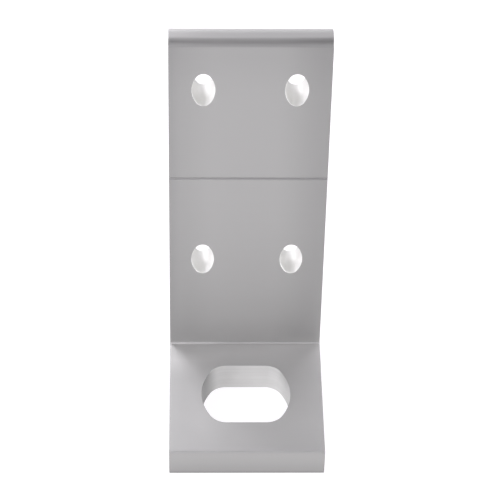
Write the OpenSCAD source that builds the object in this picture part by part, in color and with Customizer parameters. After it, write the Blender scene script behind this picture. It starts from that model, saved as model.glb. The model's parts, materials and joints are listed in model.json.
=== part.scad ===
// Angle bracket cut from an extruded aluminium angle.
// The tall wall leg has two rows of oval bolt holes and a scribed drilling line between them.
// The short foot leg has one wide oblong slot, so that the bracket can be shifted on its bolt.
// X runs across the width, the foot reaches towards -Y and the wall stands up along +Z.
// The origin is the middle of the foot's underside. Sizes are in millimetres.

/* [Angle section] */
// Width of the bracket, the length that is cut off the angle
width = 40; // [32:0.5:120]
// Height of the wall leg over the foot's underside
wall_h = 110.2; // [85:0.1:240]
// Depth of the foot leg from the wall's back to the foot's front edge
foot_d = 48; // [42:0.5:90]
// Thickness of the wall leg
wall_t = 8.5; // [4:0.1:14]
// Thickness of the foot leg
foot_t = 8.2; // [4:0.1:14]

/* [Edges] */
// Radius of the wall's top edge at the front
top_front_r = 2; // [0.2:0.1:2.8]
// Radius of the wall's top edge at the back
top_back_r = 4.8; // [0.2:0.1:5]
// Radius of the foot's front edges, upper and lower
toe_r = 0.5; // [0.1:0.1:3]
// Radius of the heel, where the two legs meet on the outside
heel_r = 0.6; // [0.1:0.1:6]
// Radius in the inner corner between the two legs
corner_r = 0.4; // [0.1:0.1:6]

/* [Drilling line] */
// How far the line lies under the middle between the two rows of holes
line_drop = 0.6; // [-10:0.1:10]
// Width of the line's mouth
line_w = 1; // [0.3:0.1:3]
// Depth of the line's vee
line_depth = 0.4; // [0.1:0.05:2]

/* [Wall holes] */
// Width of an oval hole
hole_w = 5.8; // [4.2:0.1:10.2]
// Height of an oval hole
hole_h = 10; // [6.2:0.1:20]
// Radius of an oval hole's top and bottom
hole_end_r = 2; // [1:0.1:2.8]
// Distance between the two columns of holes
hole_pitch_x = 22.9; // [9:0.1:32]
// Height of the lower row over the foot's underside
hole_low_z = 39; // [16:0.1:75]
// Distance from the wall's top to the upper row
hole_top_inset = 14.8; // [11:0.1:50]

/* [Foot slot] */
// Length of the slot, across the width
slot_l = 23.2; // [12:0.1:36]
// Width of the slot, from front to back
slot_w = 20.5; // [12:0.1:29]
// How far each bowed end reaches past the slot's straight edges
slot_bow = 6.5; // [5.2:0.1:10]
// Radius of the slot's corners, between a straight edge and a bowed end
slot_corner_r = 5; // [0.5:0.1:6.3]
// Distance from the wall's front face to the slot's back edge
slot_gap = 8.5; // [1:0.1:18]

/* [Hidden] */
$fn = 96;

// How far a cut runs past the faces that it opens
cut_over = 1;
// Largest share of the wall's thickness that each of its top radii may take
front_share = 0.35;
back_share = 0.6;
// Largest share of an oval's half width that its end radius may take
end_share = 0.97;

back_y = foot_d / 2;
front_y = -foot_d / 2;
wall_face_y = back_y - wall_t;
hole_high_z = wall_h - hole_top_inset;
line_z = (hole_low_z + hole_high_z) / 2 - line_drop;
slot_y = wall_face_y - slot_gap - slot_w / 2;

// Oval of four tangent arcs, taller than it is wide
// The two end arcs have their centres on the height, and the two side arcs on the width.
module oval(w, h, end_r) {
    half_w = w / 2;
    small_r = min(end_r, end_share * half_w);
    rise = h / 2 - small_r;
    side_r = (rise * rise + half_w * half_w - small_r * small_r) / (2 * (half_w - small_r));
    reach = side_r - half_w;
    lean = atan2(rise, reach);
    join_y = rise + small_r * sin(lean);

    intersection() {
        translate([-reach, 0]) circle(side_r);
        translate([reach, 0]) circle(side_r);
        square([2 * w, 2 * join_y], center = true);
    }
    for (end = [-1, 1])
        translate([0, end * rise]) circle(small_r);
}

// Oblong with straight long edges and an oval's halves as its ends
module oblong(l, w, bow, corner_r) {
    run = l - 2 * bow;

    square([run, w], center = true);
    for (end = [-1, 1])
        translate([end * run / 2, 0]) oval(2 * bow, w, corner_r);
}

// Corner of a square that a fillet of radius r leaves empty, with the corner at the origin
module fillet_waste(r) {
    difference() {
        square(r);
        translate([r, r]) circle(r);
    }
}

// Section of the angle: depth runs along X and height along Y
module section() {
    difference() {
        union() {
            translate([wall_face_y, 0]) square([wall_t, wall_h]);
            translate([front_y, 0]) square([foot_d, foot_t]);
            translate([wall_face_y, foot_t]) mirror([1, 0]) fillet_waste(corner_r);
        }
        translate([wall_face_y, wall_h]) mirror([0, 1]) fillet_waste(min(top_front_r, front_share * wall_t));
        translate([back_y, wall_h]) rotate(180) fillet_waste(min(top_back_r, back_share * wall_t));
        translate([back_y, 0]) mirror([1, 0]) fillet_waste(heel_r);
        translate([front_y, 0]) fillet_waste(toe_r);
        translate([front_y, foot_t]) mirror([0, 1]) fillet_waste(toe_r);
        translate([wall_face_y, line_z]) drilling_vee();
    }
}

// Notch of the drilling line, with its mouth across the wall's front face
module drilling_vee() {
    slope = line_w / 2 / line_depth;
    mouth = line_w / 2 + slope * cut_over;

    polygon([[-cut_over, -mouth], [line_depth, 0], [-cut_over, mouth]]);
}

// Cutters of the oval holes, through the wall from front to back
module wall_holes() {
    for (side = [-1, 1], z = [hole_low_z, hole_high_z])
        translate([side * hole_pitch_x / 2, back_y + cut_over, z])
            rotate([90, 0, 0])
                linear_extrude(wall_t + 2 * cut_over)
                    oval(hole_w, hole_h, hole_end_r);
}

// Cutter of the oblong slot, down through the foot
module foot_slot() {
    translate([0, slot_y, -cut_over])
        linear_extrude(foot_t + 2 * cut_over)
            oblong(slot_l, slot_w, slot_bow, slot_corner_r);
}

// The whole bracket: a length of the angle with its holes and its slot
module bracket() {
    color([0.69, 0.69, 0.68])
        difference() {
            translate([-width / 2, 0, 0])
                rotate([90, 0, 90])
                    linear_extrude(width)
                        section();
            wall_holes();
            foot_slot();
        }
}

bracket();
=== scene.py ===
"""Angle bracket in satin mill-finish aluminium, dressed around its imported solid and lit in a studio.

The bracket is one length of extruded angle: a tall wall with oval bolt holes and a vee line, and a
short foot with an oblong slot. The dressed body repeats the solid's sizes and adds what a workshop
leaves on it: broken edges at the saw cuts, deburred rims, and the finish of each kind of surface.
"""

from __future__ import annotations

import json
import logging
import math
from dataclasses import dataclass
from enum import Enum
from typing import Any, Callable, Iterable, Union

import bmesh
import bpy
from mathutils import Matrix, Vector


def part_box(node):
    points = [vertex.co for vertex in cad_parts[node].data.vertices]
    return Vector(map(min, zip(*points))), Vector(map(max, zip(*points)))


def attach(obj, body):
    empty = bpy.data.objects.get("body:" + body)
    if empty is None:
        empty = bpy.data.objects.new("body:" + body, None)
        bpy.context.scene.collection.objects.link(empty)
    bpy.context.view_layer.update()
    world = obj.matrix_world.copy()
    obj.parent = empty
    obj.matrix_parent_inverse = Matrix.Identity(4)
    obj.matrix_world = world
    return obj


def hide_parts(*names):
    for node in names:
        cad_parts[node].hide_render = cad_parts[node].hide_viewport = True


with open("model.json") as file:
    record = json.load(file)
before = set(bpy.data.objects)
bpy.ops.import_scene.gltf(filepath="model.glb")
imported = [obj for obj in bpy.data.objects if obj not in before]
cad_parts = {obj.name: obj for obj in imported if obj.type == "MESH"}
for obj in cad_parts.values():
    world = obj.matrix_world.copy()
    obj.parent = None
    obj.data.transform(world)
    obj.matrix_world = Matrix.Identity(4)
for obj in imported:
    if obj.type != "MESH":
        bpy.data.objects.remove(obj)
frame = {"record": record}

LOG = logging.getLogger("angle_bracket")
BODY = "root"
NODE = "bracket"
MM = 0.001
NEAR = 0.01 * MM

# Sizes that the record doesn't state: half the width of a wall hole, and how far the drilling line
# lies below the middle of the hole columns.
HOLE_HALF_W = 2.9 * MM
LINE_DROP = 0.6 * MM

Colour = tuple[float, float, float, float]
Band = tuple[float, float]
Waves = tuple[float, float, float]


def even(waves: float) -> Waves:
    """Waves per metre that are the same along each axis."""
    return waves, waves, waves


def band(start: float, end: float) -> Band:
    """Band between two places in millimetres, at which a step is 0 and 1."""
    return start * MM, end * MM


class Axis(Enum):
    """Axis of the bracket's own frame."""

    X = 0
    Y = 1
    Z = 2


class Maths:
    """Socket of a material's node tree that takes part in Python sums.

    Args:
        graph: Graph that new Math nodes are added to.
        socket: Output socket that holds the value.
    """

    def __init__(self, graph: Graph, socket: bpy.types.NodeSocket) -> None:
        """Keeps the graph and the socket."""
        self.graph = graph
        self.socket = socket

    def _join(self, operation: str, first: Term, second: Term) -> Maths:
        """Adds one Math node.

        Args:
            operation: Name of the Math node's operation.
            first: Left side of the sum.
            second: Right side of the sum.

        Returns:
            The node's result.
        """
        node = self.graph.node("ShaderNodeMath", {"operation": operation}, {0: first, 1: second})
        return Maths(self.graph, node.outputs[0])

    def __add__(self, other: Term) -> Maths:
        """Sum of the two."""
        return self._join("ADD", self, other)

    __radd__ = __add__

    def __sub__(self, other: Term) -> Maths:
        """This less the other."""
        return self._join("SUBTRACT", self, other)

    def __rsub__(self, other: Term) -> Maths:
        """The other less this."""
        return self._join("SUBTRACT", other, self)

    def __mul__(self, other: Term) -> Maths:
        """Product of the two."""
        return self._join("MULTIPLY", self, other)

    __rmul__ = __mul__


Term = Union[Maths, float]


class Graph:
    """Node tree of one new material, with a Principled shader at its end.

    Args:
        name: Name of the material.
    """

    def __init__(self, name: str) -> None:
        """Makes the material and clears its tree."""
        self.material = bpy.data.materials.new(name)
        self.material.use_nodes = True
        self.tree = self.material.node_tree
        self.tree.nodes.clear()
        self.shader = self.node("ShaderNodeBsdfPrincipled")
        output = self.node("ShaderNodeOutputMaterial")
        self.tree.links.new(self.shader.outputs["BSDF"], output.inputs["Surface"])

    def node(
        self,
        kind: str,
        settings: dict[str, Any] | None = None,
        inputs: dict[str | int, Any] | None = None,
    ) -> bpy.types.Node:
        """Adds a node.

        Args:
            kind: The node's type.
            settings: Attributes of the node, set before its sockets.
            inputs: Values or links of its sockets, by name or number.

        Returns:
            The new node.
        """
        made = self.tree.nodes.new(kind)
        for key, value in (settings or {}).items():
            setattr(made, key, value)
        self.feed(made, inputs or {})
        return made

    def feed(self, node: bpy.types.Node, inputs: dict[str | int, Any]) -> None:
        """Sets or links a node's sockets.

        Args:
            node: Node whose sockets are fed.
            inputs: Values, sums or sockets, by the input's name or number.
        """
        for key, value in inputs.items():
            socket = node.inputs[key]
            if isinstance(value, Maths):
                self.tree.links.new(value.socket, socket)
            elif isinstance(value, bpy.types.NodeSocket):
                self.tree.links.new(value, socket)
            else:
                socket.default_value = value

    def place(self, scale: Waves = (1.0, 1.0, 1.0), turn: float = 0.0) -> Any:
        """Place on the object, scaled for a texture.

        Args:
            scale: Waves per metre along X, Y and Z.
            turn: Turn about X, in radians.

        Returns:
            The socket of the scaled place.
        """
        here = self.node("ShaderNodeTexCoord").outputs["Object"]
        mapping = self.node(
            "ShaderNodeMapping",
            {"vector_type": "POINT"},
            {"Vector": here, "Scale": scale, "Rotation": (turn, 0.0, 0.0)},
        )
        return mapping.outputs["Vector"]

    def noise(self, scale: Waves, detail: float = 2.0, rough: float = 0.5, turn: float = 0.0) -> Maths:
        """Noise that runs from 0 to 1 about a middle of one half.

        Args:
            scale: Waves per metre along X, Y and Z.
            detail: Octaves of finer noise.
            rough: Strength of each finer octave.
            turn: Turn about X, in radians.

        Returns:
            The noise's value.
        """
        node = self.node(
            "ShaderNodeTexNoise",
            {"noise_dimensions": "3D"},
            {"Vector": self.place(scale, turn), "Scale": 1.0, "Detail": detail, "Roughness": rough},
        )
        return Maths(self, node.outputs["Fac"])

    def along(self, axis: Axis) -> Maths:
        """Place on the object along one axis.

        Args:
            axis: The axis.

        Returns:
            The place in metres.
        """
        here = self.node("ShaderNodeTexCoord").outputs["Object"]
        parts = self.node("ShaderNodeSeparateXYZ", {}, {0: here})
        return Maths(self, parts.outputs[axis.value])

    def ramp(self, value: Term, limits: Band) -> Maths:
        """Smooth step between two values.

        Args:
            value: What the step follows.
            limits: Values at which the step is 0 and 1.

        Returns:
            The step, from 0 to 1.
        """
        node = self.node(
            "ShaderNodeMapRange",
            {"interpolation_type": "SMOOTHSTEP"},
            {"Value": value, "From Min": limits[0], "From Max": limits[1]},
        )
        return Maths(self, node.outputs["Result"])

    def blend(self, share: Maths, first: Any, second: Any) -> Any:
        """Mixes two colours.

        Args:
            share: How much of the second colour shows, from 0 to 1.
            first: Colour or socket at 0.
            second: Colour or socket at 1.

        Returns:
            The socket of the mixed colour.
        """
        node = self.node(
            "ShaderNodeMix",
            {"data_type": "RGBA", "clamp_factor": True},
            {0: share, 6: first, 7: second},
        )
        return node.outputs[2]

    def bump(self, height: Maths, depth: float) -> Any:
        """Turns a height into a normal.

        Args:
            height: Height from 0 to 1.
            depth: Height of a full step, in metres.

        Returns:
            The socket of the bent normal.
        """
        node = self.node("ShaderNodeBump", {}, {"Strength": 1.0, "Distance": depth, "Height": height})
        return node.outputs["Normal"]


@dataclass(frozen=True)
class SkinPlace:
    """Place on the skin, measured from the faces that its painted light and shade follows.

    Attributes:
        across: From the middle towards +X.
        behind: From the wall's front face backwards.
        from_toe: From the toe backwards.
        up: From the ground upwards.
        above_foot: From the foot's upper face upwards.
        above_line: From the drilling line upwards.
        above_top: From the wall's top upwards.
    """

    across: Maths
    behind: Maths
    from_toe: Maths
    up: Maths
    above_foot: Maths
    above_line: Maths
    above_top: Maths


@dataclass(frozen=True)
class PaintedShading:
    """Painted light and shade on the skin over the legs, standing in for how the studio light falls.

    A lift is painted light that makes the skin paler and a fade is painted shade that makes it darker, each
    by a share of the tone's full span. A band says between which places along an axis it comes in, measured
    from the face that the comment above it names, and along X from the middle.

    Attributes:
        wall_face: Place of the wall's front face along Y.
        toe_face: Place of the foot's front end along Y.
        foot_face: Height of the foot's upper face.
        wall_top: Height of the wall's top.
        line_height: Height of the drilling line.
    """

    wall_face: float
    toe_face: float
    foot_face: float
    wall_top: float
    line_height: float

    # Depth behind the wall's front face at which the front, and with it the painted light and shade of the
    # legs, ends.
    front_y: Band = band(2.6, 1.8)

    # From the wall's top: painted shade on the wall's upper end, painted light on the left of the top face,
    # and a painted dark band of shade on the rounding in front of it.
    top_fade: float = 0.114
    top_z: Band = band(-18.2, -2.2)
    top_face_lift: float = 0.20
    top_face_z: Band = band(-0.5, -0.1)
    edge_fade: float = 0.58
    edge_low_z: Band = band(-1.8, -1.0)
    edge_high_z: Band = band(-0.1, -0.8)

    # From the foot's upper face: the wall's front, with painted light in its middle and painted shade at
    # its sides and its left rim.
    wall_z: Band = band(0.0, 4.0)
    middle_lift: float = 0.055
    left_fade: float = 0.227
    left_x: Band = band(-8.0, -20.0)
    right_fade: float = 0.341
    right_x: Band = band(6.0, 20.0)
    rim_fade: float = 0.12
    rim_x: Band = band(-17.0, -20.0)

    # From the wall's front face and the drilling line's height: painted shade inside the line.
    vee_fade: float = 0.70
    vee_y: Band = band(0.04, 0.25)
    vee_low_z: Band = band(-0.7, -0.4)
    vee_high_z: Band = band(0.7, 0.4)

    # From the wall's front face and the foot's upper face: painted light on the foot beside the inner
    # corner, most towards the left, and painted shade in its seam.
    corner_lift: float = 0.34
    corner_y: Band = band(0.0, -14.0)
    corner_low_z: Band = band(-2.2, -0.7)
    corner_high_z: Band = band(0.0, 1.0)
    corner_left_lift: float = 0.36
    corner_left_x: Band = band(-3.0, -14.0)
    seam_fade: float = 0.40
    seam_y: Band = band(-0.8, -0.3)
    seam_z: Band = band(0.8, 0.3)

    # From the toe and the foot's upper face: painted light on the whole face, and painted shade on its left
    # side and at its front.
    foot_lift: float = 0.16
    foot_z: Band = band(-1.2, 0.0)
    foot_left_fade: float = 0.13
    foot_left_x: Band = band(-11.0, -17.0)
    foot_left_y: Band = band(2.0, 10.0)
    toe_fade: float = 0.227
    toe_y: Band = band(12.0, 0.0)

    # From the ground: painted contact shadow on the toe's lower part, darkest at its edge at the sole.
    low_fade: float = 0.28
    low_z: Band = band(6.5, 0.0)
    sole_fade: float = 0.80
    sole_z: Band = band(1.2, 0.2)

    def add_to(self, graph: Graph) -> Maths:
        """Sums the painted light and shade over both legs.

        Args:
            graph: The material's nodes.

        Returns:
            What the painted light and shade adds to the tone.
        """
        across, ahead, up = (graph.along(axis) for axis in Axis)
        spot = SkinPlace(
            across=across,
            behind=ahead - self.wall_face,
            from_toe=ahead - self.toe_face,
            up=up,
            above_foot=up - self.foot_face,
            above_line=up - self.line_height,
            above_top=up - self.wall_top,
        )
        left = graph.ramp(spot.across, self.left_x)
        front = graph.ramp(spot.behind, self.front_y)
        legs = front * (self._foot(graph, spot) + self._wall(graph, spot, left))
        # Painted light on the top face's left side, and painted shade down the wall's upper end.
        top_face = self.top_face_lift * graph.ramp(spot.above_top, self.top_face_z) * left
        return legs + top_face - self.top_fade * graph.ramp(spot.above_top, self.top_z)

    def _wall(self, graph: Graph, spot: SkinPlace, left: Maths) -> Maths:
        """Painted light and shade on the wall's front: painted light in its middle, painted shade at its
        sides, in the drilling line and on the top rounding.

        Args:
            graph: The material's nodes.
            spot: Place on the skin.
            left: Step towards the left side.

        Returns:
            The wall's part of the drift.
        """
        right = graph.ramp(spot.across, self.right_x)
        rim = graph.ramp(spot.across, self.rim_x)
        # Painted light in the wall's middle, painted shade at its sides and its left rim.
        sides = self.middle_lift - self.left_fade * left - self.right_fade * right - self.rim_fade * rim
        # Painted shade inside the drilling line.
        vee = graph.ramp(spot.above_line, self.vee_low_z) * graph.ramp(spot.above_line, self.vee_high_z)
        vee = vee * graph.ramp(spot.behind, self.vee_y)
        # Painted dark band of shade on the top rounding.
        edge = graph.ramp(spot.above_top, self.edge_low_z) * graph.ramp(spot.above_top, self.edge_high_z)
        wall = graph.ramp(spot.above_foot, self.wall_z)
        return wall * sides - self.vee_fade * vee - self.edge_fade * edge

    def _foot(self, graph: Graph, spot: SkinPlace) -> Maths:
        """Painted light and shade on the foot: painted light on its upper face and beside the inner corner,
        painted shade in the seam, on its left side and at the toe, and a painted contact shadow along the
        sole's edge.

        Args:
            graph: The material's nodes.
            spot: Place on the skin.

        Returns:
            The foot's part of the painted light and shade.
        """
        off_wall = graph.ramp(spot.behind, self.corner_y)
        on_foot = 1.0 - graph.ramp(spot.above_foot, self.corner_high_z)
        upper = graph.ramp(spot.above_foot, self.foot_z)
        seam = graph.ramp(spot.behind, self.seam_y) * graph.ramp(spot.above_foot, self.seam_z)
        # Painted light beside the inner corner, less painted shade in the seam.
        corner = self.corner_lift + self.corner_left_lift * graph.ramp(spot.across, self.corner_left_x)
        corner = corner * ((1.0 - off_wall) * on_foot) - self.seam_fade * seam
        corner = corner * graph.ramp(spot.above_foot, self.corner_low_z)
        # Painted shade on the foot's left side and at the toe, and painted light on its upper face.
        left = graph.ramp(spot.across, self.foot_left_x) * graph.ramp(spot.from_toe, self.foot_left_y)
        left = left * off_wall * on_foot
        toe = graph.ramp(spot.from_toe, self.toe_y) * upper
        # Painted contact shadow on the toe's lower part and at the sole's edge.
        low = self.low_fade * graph.ramp(spot.up, self.low_z)
        low = low + self.sole_fade * graph.ramp(spot.up, self.sole_z)
        raised = self.foot_lift * on_foot * upper
        return corner + raised - self.foot_left_fade * left - self.toe_fade * toe - low


@dataclass(frozen=True)
class MillFinish:
    """Skin of the extrusion: fine die lines along its length over soft clouds, with painted light and shade
    over the legs.

    Attributes:
        painted_shading: Painted light and shade over the legs.
        name: Name of the material.
        light: Colour of the palest skin.
        dark: Colour of the dullest skin.
        hairline_waves: Waves per metre of the finest die lines.
        stripe_waves: Waves per metre of the broad die lines.
        cloud_waves: Waves per metre of the clouds.
        hairline_mix: Share of the finest lines among all die lines.
        cloud_mix: Share of the clouds in the grain.
        grain_share: How much the grain changes the tone.
        roughness: Middle of the roughness.
        line_share: How much the die lines change the roughness.
        cloud_share: How much the clouds change the roughness.
        line_depth: Depth of the die lines.
    """

    painted_shading: PaintedShading
    name: str = "mill_skin"
    light: Colour = (0.561, 0.559, 0.547, 1.0)
    dark: Colour = (0.359, 0.357, 0.350, 1.0)
    hairline_waves: Waves = (14.0, 5200.0, 5200.0)
    stripe_waves: Waves = (5.0, 420.0, 420.0)
    cloud_waves: Waves = even(60.0)
    hairline_mix: float = 0.6
    cloud_mix: float = 0.45
    grain_share: float = 0.18
    roughness: float = 0.65
    line_share: float = 0.10
    cloud_share: float = 0.06
    line_depth: float = 0.0015 * MM

    def make(self) -> bpy.types.Material:
        """Builds the material.

        Returns:
            The finished material.
        """
        graph = Graph(self.name)
        hairlines = graph.noise(self.hairline_waves, detail=3.0, rough=0.6)
        stripes = graph.noise(self.stripe_waves)
        clouds = graph.noise(self.cloud_waves, detail=4.0, rough=0.55)
        lines = self.hairline_mix * hairlines + (1.0 - self.hairline_mix) * stripes
        grain = self.cloud_mix * clouds + (1.0 - self.cloud_mix) * lines
        # The last term is painted light and shade over the legs.
        tone = 0.5 + self.grain_share * (grain - 0.5) + self.painted_shading.add_to(graph)
        rough = self.roughness + self.line_share * (lines - 0.5) + self.cloud_share * (clouds - 0.5)
        graph.feed(
            graph.shader,
            {
                "Base Color": graph.blend(tone, self.dark, self.light),
                "Metallic": 1.0,
                "Roughness": rough,
                "Normal": graph.bump(lines, self.line_depth),
            },
        )
        return graph.material


@dataclass(frozen=True)
class BoreFinish:
    """Sides of the wall holes: bright from the drill, with its rings stacked through the wall.

    Attributes:
        name: Name of the material.
        light: Colour of the palest rings.
        dark: Colour of the dullest rings.
        metallic: Share of bare metal in the finish.
        roughness: Middle of the roughness.
        ring_waves: Waves per metre of the rings.
        cloud_waves: Waves per metre of the clouds.
        ring_mix: Share of the rings in the tone, beside the clouds.
        ring_share: How much the rings change the roughness.
        ring_depth: Depth of the rings.
    """

    name: str = "bored_hole"
    light: Colour = (0.81, 0.81, 0.79, 1.0)
    dark: Colour = (0.73, 0.73, 0.71, 1.0)
    metallic: float = 0.5
    roughness: float = 0.75
    ring_waves: Waves = (35.0, 1500.0, 35.0)
    cloud_waves: Waves = even(300.0)
    ring_mix: float = 0.7
    ring_share: float = 0.10
    ring_depth: float = 0.003 * MM

    def make(self) -> bpy.types.Material:
        """Builds the material.

        Returns:
            The finished material.
        """
        graph = Graph(self.name)
        rings = graph.noise(self.ring_waves, detail=3.0, rough=0.6)
        clouds = graph.noise(self.cloud_waves)
        tone = self.ring_mix * rings + (1.0 - self.ring_mix) * clouds
        graph.feed(
            graph.shader,
            {
                "Base Color": graph.blend(tone, self.dark, self.light),
                "Metallic": self.metallic,
                "Roughness": self.roughness + self.ring_share * (rings - 0.5),
                "Normal": graph.bump(rings, self.ring_depth),
            },
        )
        return graph.material


@dataclass(frozen=True)
class SlotFinish:
    """Sides of the slot: level streaks of the milling cutter, with painted shade that darkens its left half
    and its ends, the left end most.

    Attributes:
        name: Name of the material.
        light: Colour of the palest streaks.
        dark: Colour of the dullest streaks.
        end_shade_colour: Colour of the painted shade at the ends.
        roughness: Middle of the roughness.
        streak_waves: Waves per metre of the streaks.
        cloud_waves: Waves per metre of the clouds.
        streak_mix: Share of the streaks in the tone, beside the clouds.
        streak_share: How much the streaks change the roughness.
        streak_depth: Depth of the streaks.
        left_fade: How much painted shade darkens the left half.
        left_x: Where the left half comes in.
        left_end_x: Where the left end comes in.
        right_end_x: Where the right end comes in.
        right_share: How far the right end takes the colour of the painted shade.
    """

    name: str = "milled_slot"
    light: Colour = (0.76, 0.76, 0.745, 1.0)
    dark: Colour = (0.53, 0.53, 0.52, 1.0)
    end_shade_colour: Colour = (0.25, 0.25, 0.245, 1.0)
    roughness: float = 0.50
    streak_waves: Waves = (30.0, 30.0, 900.0)
    cloud_waves: Waves = even(260.0)
    streak_mix: float = 0.75
    streak_share: float = 0.12
    streak_depth: float = 0.004 * MM
    left_fade: float = 0.36
    left_x: Band = band(4.0, -8.0)
    left_end_x: Band = band(-7.0, -11.4)
    right_end_x: Band = band(9.0, 11.4)
    right_share: float = 0.26

    def make(self) -> bpy.types.Material:
        """Builds the material.

        Returns:
            The finished material.
        """
        graph = Graph(self.name)
        streaks = graph.noise(self.streak_waves, detail=3.0, rough=0.6)
        clouds = graph.noise(self.cloud_waves)
        across = graph.along(Axis.X)
        tone = self.streak_mix * streaks + (1.0 - self.streak_mix) * clouds
        # Painted shade: the left half, the left end and part of the right end darken towards the shade
        # colour.
        tone = tone - self.left_fade * graph.ramp(across, self.left_x)
        left_end = graph.ramp(across, self.left_end_x)
        right_end = self.right_share * graph.ramp(across, self.right_end_x)
        sides = graph.blend(tone, self.dark, self.light)
        graph.feed(
            graph.shader,
            {
                "Base Color": graph.blend(left_end + right_end, sides, self.end_shade_colour),
                "Metallic": 1.0,
                "Roughness": self.roughness + self.streak_share * (streaks - 0.5),
                "Normal": graph.bump(streaks, self.streak_depth),
            },
        )
        return graph.material


@dataclass(frozen=True)
class SawnFinish:
    """Ends where the saw parted the bracket from the bar: faint strokes side by side, in dark colours that
    are painted shade against the strong side lights.

    Attributes:
        name: Name of the material.
        light: Colour of the palest strokes.
        dark: Colour of the dullest strokes.
        roughness: Middle of the roughness.
        stroke_waves: Waves per metre of the strokes.
        cloud_waves: Waves per metre of the clouds.
        stroke_mix: Share of the strokes in the tone, beside the clouds.
        stroke_share: How much the strokes change the roughness.
        stroke_depth: Depth of the strokes.
        stroke_turn: How far the strokes lean, in radians.
    """

    name: str = "sawn_end"
    # Painted shade: these colours are kept dark so that the strong side lights don't wash out the ends.
    light: Colour = (0.270, 0.269, 0.264, 1.0)
    dark: Colour = (0.205, 0.204, 0.200, 1.0)
    roughness: float = 0.55
    stroke_waves: Waves = (40.0, 1700.0, 26.0)
    cloud_waves: Waves = even(120.0)
    stroke_mix: float = 0.7
    stroke_share: float = 0.16
    stroke_depth: float = 0.006 * MM
    stroke_turn: float = math.radians(14.0)

    def make(self) -> bpy.types.Material:
        """Builds the material.

        Returns:
            The finished material.
        """
        graph = Graph(self.name)
        strokes = graph.noise(self.stroke_waves, detail=3.0, rough=0.6, turn=self.stroke_turn)
        clouds = graph.noise(self.cloud_waves, detail=3.0)
        tone = self.stroke_mix * strokes + (1.0 - self.stroke_mix) * clouds
        graph.feed(
            graph.shader,
            {
                "Base Color": graph.blend(tone, self.dark, self.light),
                "Metallic": 1.0,
                "Roughness": self.roughness + self.stroke_share * (strokes - 0.5),
                "Normal": graph.bump(strokes, self.stroke_depth),
            },
        )
        return graph.material


def deselect_all() -> None:
    """Clears the selection, so that an operator acts only on what comes next."""
    bpy.ops.object.select_all(action="DESELECT")


def make_active(piece: bpy.types.Object) -> None:
    """Selects one object alone and makes it the active one.

    Args:
        piece: Object to work on.
    """
    deselect_all()
    piece.select_set(True)
    bpy.context.view_layer.objects.active = piece


def apply_modifier(piece: bpy.types.Object, name: str, kind: str, settings: dict[str, Any]) -> None:
    """Adds a modifier and applies it.

    Args:
        piece: Object that is changed.
        name: Name of the modifier.
        kind: The modifier's type.
        settings: Attributes of the modifier.
    """
    make_active(piece)
    modifier = piece.modifiers.new(name, kind)
    for key, value in settings.items():
        setattr(modifier, key, value)
    bpy.ops.object.modifier_apply(modifier=name)


class EditSession:
    """Edit mode on one object, with edges and faces picked by their place.

    Args:
        piece: Object whose mesh is shaped.
    """

    def __init__(self, piece: bpy.types.Object) -> None:
        """Keeps the object."""
        self.piece = piece

    def __enter__(self) -> EditSession:
        """Enters edit mode with nothing picked."""
        make_active(self.piece)
        bpy.ops.object.mode_set(mode="EDIT")
        bpy.ops.mesh.select_all(action="DESELECT")
        return self

    def __exit__(self, *_: object) -> None:
        """Leaves edit mode."""
        bpy.ops.object.mode_set(mode="OBJECT")

    def _pick(self, mode: str, elements: str, test: Callable[[Any], bool]) -> None:
        """Picks elements of the mesh.

        Args:
            mode: Selection mode, such as EDGE.
            elements: Name of the mesh's list, such as edges.
            test: Says whether an element is picked.
        """
        bpy.ops.mesh.select_mode(type=mode)
        bpy.ops.mesh.select_all(action="DESELECT")
        mesh = bmesh.from_edit_mesh(self.piece.data)
        found = [element for element in getattr(mesh, elements) if test(element)]
        for element in found:
            element.select_set(True)
        mesh.select_flush_mode()
        bmesh.update_edit_mesh(self.piece.data)

    def edges(self, test: Callable[[Any], bool]) -> None:
        """Picks the edges that pass a test."""
        self._pick("EDGE", "edges", test)

    def faces(self, test: Callable[[Any], bool]) -> None:
        """Picks the faces that pass a test."""
        self._pick("FACE", "faces", test)


def middle(edge: Any) -> Vector:
    """Middle of a mesh edge."""
    return (edge.verts[0].co + edge.verts[1].co) / 2


@dataclass(frozen=True)
class Outline:
    """Oval of four tangent arcs, whose left and right halves may be parted by a straight run.

    Attributes:
        half_w: Half its width, without the run.
        half_h: Half its height, more than half its width.
        end_r: Radius of its top and bottom.
        half_run: How far each half is moved out along X.
    """

    half_w: float
    half_h: float
    end_r: float
    half_run: float = 0.0

    def point(self, turn: float, grown: float) -> tuple[float, float]:
        """Point of the outline whose normal has a given direction.

        Args:
            turn: Direction of the normal, in radians from +X.
            grown: How far the outline is offset outwards.

        Returns:
            The point's two coordinates.
        """
        rise = self.half_h - self.end_r
        side_r = (rise**2 + self.half_w**2 - self.end_r**2) / (2 * (self.half_w - self.end_r))
        reach = side_r - self.half_w
        lean = math.atan2(rise, reach)
        across, up = math.cos(turn), math.sin(turn)
        shift = math.copysign(self.half_run, across)
        if abs(math.atan2(up, abs(across))) > lean:
            radius = self.end_r + grown
            return shift + radius * across, math.copysign(rise, up) + radius * up
        radius = side_r + grown
        return shift + radius * across - math.copysign(reach, across), radius * up


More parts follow.
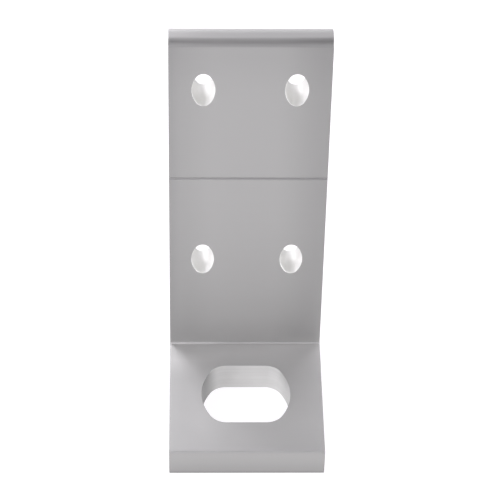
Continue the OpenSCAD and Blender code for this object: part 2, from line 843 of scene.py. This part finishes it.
@dataclass
class AngleBracket:
    """The bracket's dressed body: the angle with its rounded edges, its line and its openings.

    Attributes:
        low: Lowest corner of the solid's box.
        high: Highest corner of the solid's box.
        holes: Places of the wall holes' centres, along X and Z.
        hole: Outline of a wall hole.
        slot_y: Place of the slot's centre along Y.
        slot: Outline of the foot slot.
        line_z: Height of the drilling line.
        wall_t: Thickness of the wall.
        foot_t: Thickness of the foot.
        top_front_r: Radius of the wall's top front edge.
        top_back_r: Radius of the wall's top back edge.
        toe_r: Radius of the foot's two front edges.
        heel_r: Radius of the bottom back edge.
        corner_r: Radius of the inner corner.
        line_w: Width of the drilling line.
        line_depth: Depth of the drilling line.
        end_break: Radius of the broken edges at the saw cuts.
        end_steps: Steps of that rounding.
        end_normal_x: Least lean towards X of a face that belongs to a saw cut.
        rim_r: Radius of the deburred rims.
        rim_steps: Steps of that rounding.
        cut_over: How far a cutter reaches past the body.
        outline_points: Points on an opening's outline.
        merge_gap: Points that are closer than this become one.
        smooth_angle: Edges that are blunter than this are shaded smooth, in radians.
    """

    low: Vector
    high: Vector
    holes: list[tuple[float, float]]
    hole: Outline
    slot_y: float
    slot: Outline
    line_z: float
    wall_t: float = 8.5 * MM
    foot_t: float = 8.2 * MM
    top_front_r: float = 2.0 * MM
    top_back_r: float = 4.8 * MM
    toe_r: float = 0.5 * MM
    heel_r: float = 0.6 * MM
    corner_r: float = 0.4 * MM
    line_w: float = 1.0 * MM
    line_depth: float = 0.4 * MM
    end_break: float = 0.2 * MM
    end_steps: int = 4
    end_normal_x: float = 0.3
    rim_r: float = 0.05 * MM
    rim_steps: int = 4
    cut_over: float = 1.0 * MM
    outline_points: int = 128
    merge_gap: float = 0.001 * MM
    smooth_angle: float = math.radians(35.0)

    @property
    def wall_face_y(self) -> float:
        """Place of the wall's front face."""
        return self.high.y - self.wall_t

    @property
    def inner_corner(self) -> Vector:
        """Middle of the line in which the wall's front face meets the foot."""
        return Vector((0.0, self.wall_face_y, self.foot_t))

    def painted_light_and_shade(self) -> PaintedShading:
        """Sets the skin's painted light and shade on the bracket's own faces.

        Returns:
            The painted light and shade, for the skin's finish.
        """
        return PaintedShading(
            wall_face=self.wall_face_y,
            toe_face=self.low.y,
            foot_face=self.foot_t,
            wall_top=self.high.z,
            line_height=self.line_z,
        )

    def build(self) -> bpy.types.Object:
        """Models the body.

        Returns:
            The finished object, with no material on its skin yet.
        """
        body = self._rough_angle()
        self._round_edges(body)
        self._break_ends(body)
        return body

    def _rough_angle(self) -> bpy.types.Object:
        """Makes the square angle: a slab for the wall, and the foot drawn out of its lower front.

        Returns:
            The new object, at the origin.
        """
        deselect_all()
        width = self.high.x - self.low.x - 2 * self.end_break
        size = (width, self.wall_t, self.high.z - self.low.z)
        middle_y = (self.wall_face_y + self.high.y) / 2
        bpy.ops.mesh.primitive_cube_add(size=1.0, location=(0.0, middle_y, size[2] / 2))
        body = bpy.context.object
        body.name = "bracket_body"
        body.scale = size
        bpy.ops.object.transform_apply(location=True, rotation=True, scale=True)
        foot_reach = self.low.y - self.wall_face_y
        with EditSession(body) as edit:
            bpy.ops.mesh.select_all(action="SELECT")
            bpy.ops.mesh.bisect(plane_co=(0.0, 0.0, self.foot_t), plane_no=(0.0, 0.0, 1.0))
            edit.faces(lambda f: f.normal.y < -0.5 and f.calc_center_median().z < self.foot_t)
            bpy.ops.mesh.extrude_region_move(TRANSFORM_OT_translate={"value": (0.0, foot_reach, 0.0)})
            bpy.ops.mesh.select_all(action="SELECT")
            bpy.ops.mesh.dissolve_limited(angle_limit=math.radians(1.0))
        return body

    def _round_edges(self, body: bpy.types.Object) -> None:
        """Rounds the long edges of the extrusion.

        Args:
            body: The square angle.
        """
        roundings = (
            (self.wall_face_y, self.high.z, self.top_front_r, 12),
            (self.high.y, self.high.z, self.top_back_r, 20),
            (self.low.y, self.foot_t, self.toe_r, 6),
            (self.low.y, self.low.z, self.toe_r, 6),
            (self.high.y, self.low.z, self.heel_r, 6),
            (self.wall_face_y, self.foot_t, self.corner_r, 6),
        )
        with EditSession(body) as edit:
            for y, z, radius, steps in roundings:
                spot = Vector((0.0, y, z))
                edit.edges(lambda e, spot=spot: (middle(e) - spot).length < NEAR)
                bpy.ops.mesh.bevel(
                    offset=radius,
                    offset_type="OFFSET",
                    segments=steps,
                    profile=0.5,
                    affect="EDGES",
                    clamp_overlap=False,
                )

    def _break_ends(self, body: bpy.types.Object) -> None:
        """Draws out the two saw cuts to the full width, with a small rounding around each.

        Args:
            body: The angle with its rounded long edges, short of its width by the rounding at both ends.
        """
        turns = [i / self.end_steps * math.pi / 2 for i in range(self.end_steps + 1)]
        curve = [(1 - math.cos(t), math.sin(t)) for t in turns]
        with EditSession(body) as edit:
            for side in (-1.0, 1.0):
                edit.faces(lambda f, side=side: f.normal.x * side > 0.99)
                for (inward, outward), (next_in, next_out) in zip(curve, curve[1:]):
                    bpy.ops.mesh.inset(
                        thickness=(next_in - inward) * self.end_break,
                        depth=(next_out - outward) * self.end_break,
                        use_even_offset=True,
                    )

    def cut_line(self, body: bpy.types.Object) -> None:
        """Cuts the drilling line across the wall's front face.

        Args:
            body: The angle without its line.
        """
        deselect_all()
        along_x = (0.0, math.pi / 2, 0.0)
        bpy.ops.mesh.primitive_cylinder_add(vertices=3, radius=1.0, depth=1.0, rotation=along_x)
        tool = bpy.context.object
        bpy.ops.object.transform_apply(location=False, rotation=True, scale=False)
        self._shape_vee(tool)
        self._cut(body, tool)

    def _shape_vee(self, tool: bpy.types.Object) -> None:
        """Moves the tool's corners on to the vee's own.

        Args:
            tool: Three-sided bar along X.
        """
        spread = self.line_w / 2 * (1 + self.cut_over / self.line_depth)
        tip = (self.wall_face_y + self.line_depth, self.line_z)
        upper = (self.wall_face_y - self.cut_over, self.line_z + spread)
        lower = (self.wall_face_y - self.cut_over, self.line_z - spread)
        half = self.high.x + self.cut_over
        corners = sorted({(round(v.co.y, 6), round(v.co.z, 6)) for v in tool.data.vertices})
        by_turn = sorted(corners, key=lambda c: math.atan2(c[1], c[0]))
        for vertex in tool.data.vertices:
            spot = (round(vertex.co.y, 6), round(vertex.co.z, 6))
            goal = (tip, upper, lower)[by_turn.index(spot)]
            vertex.co = (math.copysign(half, vertex.co.x), goal[0], goal[1])

    def cut_openings(
        self,
        body: bpy.types.Object,
        bore: bpy.types.Material,
        slot: bpy.types.Material,
    ) -> None:
        """Cuts the wall holes and the foot slot, each with a deburred rim at both faces.

        Args:
            body: The angle without its openings.
            bore: Finish of the wall holes.
            slot: Finish of the slot's sides.
        """
        upright = Matrix.Rotation(math.pi / 2, 4, "X")
        pattern = self._opening_tool(self.hole, self.wall_t, bore)
        for x, z in self.holes:
            tool = pattern.copy()
            tool.data = pattern.data.copy()
            bpy.context.scene.collection.objects.link(tool)
            tool.data.transform(Matrix.Translation((x, self.high.y, z)) @ upright)
            self._cut(body, tool)
        bpy.data.objects.remove(pattern, do_unlink=True)
        tool = self._opening_tool(self.slot, self.foot_t, slot)
        tool.data.transform(Matrix.Translation((0.0, self.slot_y, 0.0)))
        self._cut(body, tool)

    def _opening_tool(self, outline: Outline, depth: float, finish: bpy.types.Material) -> bpy.types.Object:
        """Makes a cutter that flares by the rim's radius at both faces.

        Args:
            outline: Outline of the opening.
            depth: Thickness of the leg that it goes through.
            finish: Finish that the cut faces take.

        Returns:
            The cutter, along +Z from the origin.
        """
        deselect_all()
        half_step = math.pi / self.outline_points
        bpy.ops.mesh.primitive_circle_add(
            vertices=self.outline_points,
            radius=1.0,
            fill_type="NGON",
            location=(0.0, 0.0, 0.0),
            rotation=(0.0, 0.0, half_step),
        )
        tool = bpy.context.object
        tool.data.materials.append(finish)
        bpy.ops.object.transform_apply(location=False, rotation=True, scale=False)
        levels = self._flare_levels(depth)
        with EditSession(tool):
            bpy.ops.mesh.select_all(action="SELECT")
            bpy.ops.transform.translate(value=(0.0, 0.0, levels[0][0]))
            for (height, _), (next_height, _) in zip(levels, levels[1:]):
                step = (0.0, 0.0, next_height - height)
                bpy.ops.mesh.extrude_region_move(TRANSFORM_OT_translate={"value": step})
            bpy.ops.mesh.select_all(action="SELECT")
            bpy.ops.mesh.normals_make_consistent(inside=False)
        for vertex in tool.data.vertices:
            nearest = min(levels, key=lambda level: abs(level[0] - vertex.co.z))
            turn = math.atan2(vertex.co.y, vertex.co.x)
            vertex.co.xy = outline.point(turn, nearest[1])
        return tool

    def _flare_levels(self, depth: float) -> list[tuple[float, float]]:
        """Heights of a cutter's sections, each with how far it is grown past the outline.

        Args:
            depth: Thickness of the leg.

        Returns:
            Pairs of height and growth, from below the leg to above it.
        """
        rim = self.rim_r
        steps = [i / self.rim_steps * math.pi / 2 for i in range(self.rim_steps + 1)]
        curve = [(rim * (1 - math.cos(t)), rim * (1 - math.sin(t))) for t in steps]
        lower = [(-self.cut_over, rim)] + curve
        upper = [(depth - height, grown) for height, grown in reversed(lower)]
        return lower + upper

    def _cut(self, body: bpy.types.Object, tool: bpy.types.Object) -> None:
        """Takes a cutter's shape out of the body and removes the cutter.

        Args:
            body: Object that is cut.
            tool: The cutter.
        """
        settings = {
            "operation": "DIFFERENCE",
            "solver": "EXACT",
            "object": tool,
            "material_mode": "TRANSFER",
        }
        apply_modifier(body, "cut", "BOOLEAN", settings)
        bpy.data.objects.remove(tool, do_unlink=True)

    def dress_ends(self, body: bpy.types.Object, sawn: bpy.types.Material) -> None:
        """Gives the two saw cuts their finish.

        Args:
            body: The finished body.
            sawn: Finish of the cut ends.
        """
        body.data.materials.append(sawn)
        index = len(body.data.materials) - 1
        for face in body.data.polygons:
            near_end = abs(abs(face.center.x) - self.high.x) < self.end_break
            if near_end and abs(face.normal.x) > self.end_normal_x:
                face.material_index = index

    def finish_mesh(self, body: bpy.types.Object) -> None:
        """Joins double points and shades the flat faces flat and the roundings smooth.

        Args:
            body: The finished body.
        """
        with EditSession(body):
            bpy.ops.mesh.select_all(action="SELECT")
            bpy.ops.mesh.remove_doubles(threshold=self.merge_gap)
        make_active(body)
        bpy.ops.object.shade_smooth_by_angle(angle=self.smooth_angle)
        apply_modifier(body, "flat_normals", "WEIGHTED_NORMAL", {"keep_sharp": True, "weight": 100})


def bracket_from_frame() -> AngleBracket:
    """Reads the bracket's box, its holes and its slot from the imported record.

    Returns:
        The bracket, ready to build.
    """
    low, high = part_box(NODE)
    mounts = {mount["name"]: mount for mount in frame["record"]["mounts"]}
    holes = []
    for name in ("wall_holes_left", "wall_holes_right"):
        x, _, z = mounts[name]["pos_m"]
        half_pitch = mounts[name]["dims"]["spacing_y_mm"] * MM / 2
        holes += [(x, z - half_pitch), (x, z + half_pitch)]
    hole_dims = mounts["wall_holes_left"]["dims"]
    hole = Outline(
        half_w=HOLE_HALF_W,
        half_h=hole_dims["slot_length_mm"] * MM / 2,
        end_r=hole_dims["hole_r_mm"] * MM,
    )
    return AngleBracket(
        low=low,
        high=high,
        holes=holes,
        hole=hole,
        slot_y=mounts["foot_slot"]["pos_m"][1],
        slot=Outline(half_w=6.5 * MM, half_h=10.25 * MM, end_r=5.0 * MM, half_run=5.1 * MM),
        line_z=mounts["wall_holes_left"]["pos_m"][2] - LINE_DROP,
    )


@dataclass(frozen=True)
class Softbox:
    """Rectangular area light that points at the bracket and stays out of the picture.

    Attributes:
        name: Name of the light.
        place: Where it stands.
        width: Length of its level sides.
        height: Length of its other sides.
        power: Its power in watts.
        tint: Its colour.
    """

    name: str
    place: tuple[float, float, float]
    width: float
    height: float
    power: float
    tint: tuple[float, float, float] = (1.0, 0.983, 1.038)

    def make(self, target: Vector) -> None:
        """Adds the light.

        Args:
            target: Point that it faces.
        """
        data = bpy.data.lights.new(self.name, "AREA")
        data.shape = "RECTANGLE"
        data.size = self.width
        data.size_y = self.height
        data.energy = self.power
        data.color = self.tint
        light = bpy.data.objects.new(self.name, data)
        bpy.context.scene.collection.objects.link(light)
        light.location = self.place
        light.rotation_euler = (target - light.location).to_track_quat("-Z", "Y").to_euler()
        light.visible_camera = False


@dataclass(frozen=True)
class Studio:
    """White floor that glows around the bracket, soft lights on all sides of it, and a dim room.

    Attributes:
        floor_side: Side of the floor.
        floor_drop: How far the floor lies below the bracket.
        floor_tone: Grey of the floor without its glow.
        floor_glow: Glow of the floor around the bracket.
        far_glow: Glow of the floor far from the bracket.
        pool_middle: Middle of the glow around the bracket.
        pool_fade: Distances from that middle between which the glow fades.
        room_tone: Grey of the room's light.
        light_aim: Point that the softboxes face.
        softboxes: The soft lights.
    """

    floor_side: float = 24.0
    floor_drop: float = 0.02 * MM
    floor_tone: float = 0.2
    floor_glow: Colour = (0.915, 0.900, 0.925, 1.0)
    far_glow: Colour = (0.150, 0.148, 0.152, 1.0)
    pool_middle: tuple[float, float, float] = (0.0, 0.06, 0.0)
    pool_fade: Band = (0.15, 0.35)
    room_tone: float = 0.02
    light_aim: Vector = Vector((0.0, 0.0, 0.04))
    softboxes: tuple[Softbox, ...] = (
        Softbox("left_front", (-0.22, -0.14, 0.10), 0.12, 0.10, 0.502),
        Softbox("left_high", (-0.23, -0.02, 0.16), 0.12, 0.10, 0.053),
        Softbox("left_top", (-0.20, 0.0, 0.39), 0.15, 0.15, 0.144),
        Softbox("right_low", (0.25, -0.01, 0.09), 0.12, 0.10, 0.657),
        Softbox("right_high", (0.28, 0.0, 0.32), 0.15, 0.15, 0.187),
        Softbox("right_front", (0.25, -0.43, 0.09), 0.15, 0.08, 0.194),
        Softbox("front", (0.0, -0.54, 0.29), 0.20, 0.16, 0.610),
        Softbox("front_left", (-0.20, -0.20, 0.32), 0.15, 0.15, 0.289),
        Softbox("front_low", (-0.25, -0.43, 0.09), 0.15, 0.08, 0.053),
        Softbox("top", (0.0, 0.02, 0.60), 0.20, 0.20, 0.150),
        Softbox("back_left", (-0.271, 0.271, 0.341), 0.18, 0.18, 0.853),
        Softbox("back_low", (-0.221, 0.415, 0.14), 0.15, 0.12, 0.966),
        Softbox("back_right", (0.26, 0.26, 0.22), 0.15, 0.15, 0.226),
        Softbox("back", (0.0, 0.60, 0.35), 1.00, 0.50, 2.874),
    )

    def build(self) -> None:
        """Adds the floor, the room's light and the softboxes."""
        self._floor()
        self._room()
        for softbox in self.softboxes:
            softbox.make(self.light_aim)
            LOG.info("light %s", softbox.name)

    def _floor(self) -> None:
        """Adds the floor as a part of the stage."""
        deselect_all()
        bpy.ops.mesh.primitive_plane_add(size=self.floor_side, location=(0.0, 0.0, -self.floor_drop))
        floor = bpy.context.object
        floor.name = "floor"
        graph = Graph("floor_white")
        away = graph.node(
            "ShaderNodeVectorMath",
            {"operation": "DISTANCE"},
            {0: graph.place(), 1: self.pool_middle},
        )
        fade = graph.ramp(Maths(graph, away.outputs["Value"]), self.pool_fade)
        glow = graph.blend(fade, self.floor_glow, self.far_glow)
        graph.feed(
            graph.shader,
            {
                "Base Color": (self.floor_tone, self.floor_tone, self.floor_tone, 1.0),
                "Roughness": 0.9,
                "Specular IOR Level": 0.0,
                "Emission Color": glow,
                "Emission Strength": 1.0,
            },
        )
        floor.data.materials.append(graph.material)

    def _room(self) -> None:
        """Sets the even, dim light of the room."""
        world = bpy.data.worlds.new("room")
        world.use_nodes = True
        background = world.node_tree.nodes["Background"]
        background.inputs["Color"].default_value = (self.room_tone, self.room_tone, self.room_tone, 1.0)
        background.inputs["Strength"].default_value = 1.0
        bpy.context.scene.world = world


@dataclass(frozen=True)
class PhotoCamera:
    """Camera at the photograph's viewing angle.

    Attributes:
        corner: Middle of the bracket's inner corner.
        width: Width of the bracket.
        aim_offset: From the inner corner to the point that it looks at, in widths.
        distance: How far it stands from that point, in widths.
        swing: Turn of its view towards +X, in degrees.
        pitch: How far it looks down, in degrees.
        roll: Turn about its view, in degrees.
        focal: Focal length in pixels of the photograph's frame.
        frame_side: Side of the photograph's frame, in pixels.
        film: Width of the film, in millimetres.
    """

    corner: Vector
    width: float
    aim_offset: Vector = Vector((0.02004, 0.0, 0.84937))
    distance: float = 16.4281
    swing: float = 1.8268
    pitch: float = 42.8444
    roll: float = -1.2843
    focal: float = 2541.84
    frame_side: float = 500.0
    film: float = 36.0

    def make(self) -> None:
        """Adds the camera and makes it the scene's own."""
        data = bpy.data.cameras.new("photo_camera")
        data.sensor_width = self.film
        data.lens = self.focal / self.frame_side * self.film
        camera = bpy.data.objects.new("photo_camera", data)
        bpy.context.scene.collection.objects.link(camera)
        swing, pitch = math.radians(self.swing), math.radians(self.pitch)
        ahead = Vector(
            (
                math.sin(swing) * math.cos(pitch),
                math.cos(swing) * math.cos(pitch),
                -math.sin(pitch),
            )
        )
        turn = ahead.to_track_quat("-Z", "Y").to_matrix().to_4x4()
        turn = turn @ Matrix.Rotation(math.radians(-self.roll), 4, "Z")
        target = self.corner + self.aim_offset * self.width
        camera.matrix_world = Matrix.Translation(target - ahead * (self.distance * self.width)) @ turn
        bpy.context.scene.camera = camera


def main() -> None:
    """Builds the bracket's body, dresses it, and sets the stage around it."""
    logging.basicConfig(level=logging.INFO, format="%(name)s: %(message)s")
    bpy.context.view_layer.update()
    bracket = bracket_from_frame()
    body = bracket.build()
    body.data.materials.append(MillFinish(bracket.painted_light_and_shade()).make())
    bracket.cut_line(body)
    bracket.cut_openings(body, BoreFinish().make(), SlotFinish().make())
    bracket.dress_ends(body, SawnFinish().make())
    bracket.finish_mesh(body)
    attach(body, BODY)
    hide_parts(NODE)
    LOG.info("piece %s: %d faces", body.name, len(body.data.polygons))

    PhotoCamera(corner=bracket.inner_corner, width=bracket.high.x - bracket.low.x).make()
    Studio().build()
    bpy.context.scene.view_settings.view_transform = "Standard"


if __name__ == "__main__":
    main()
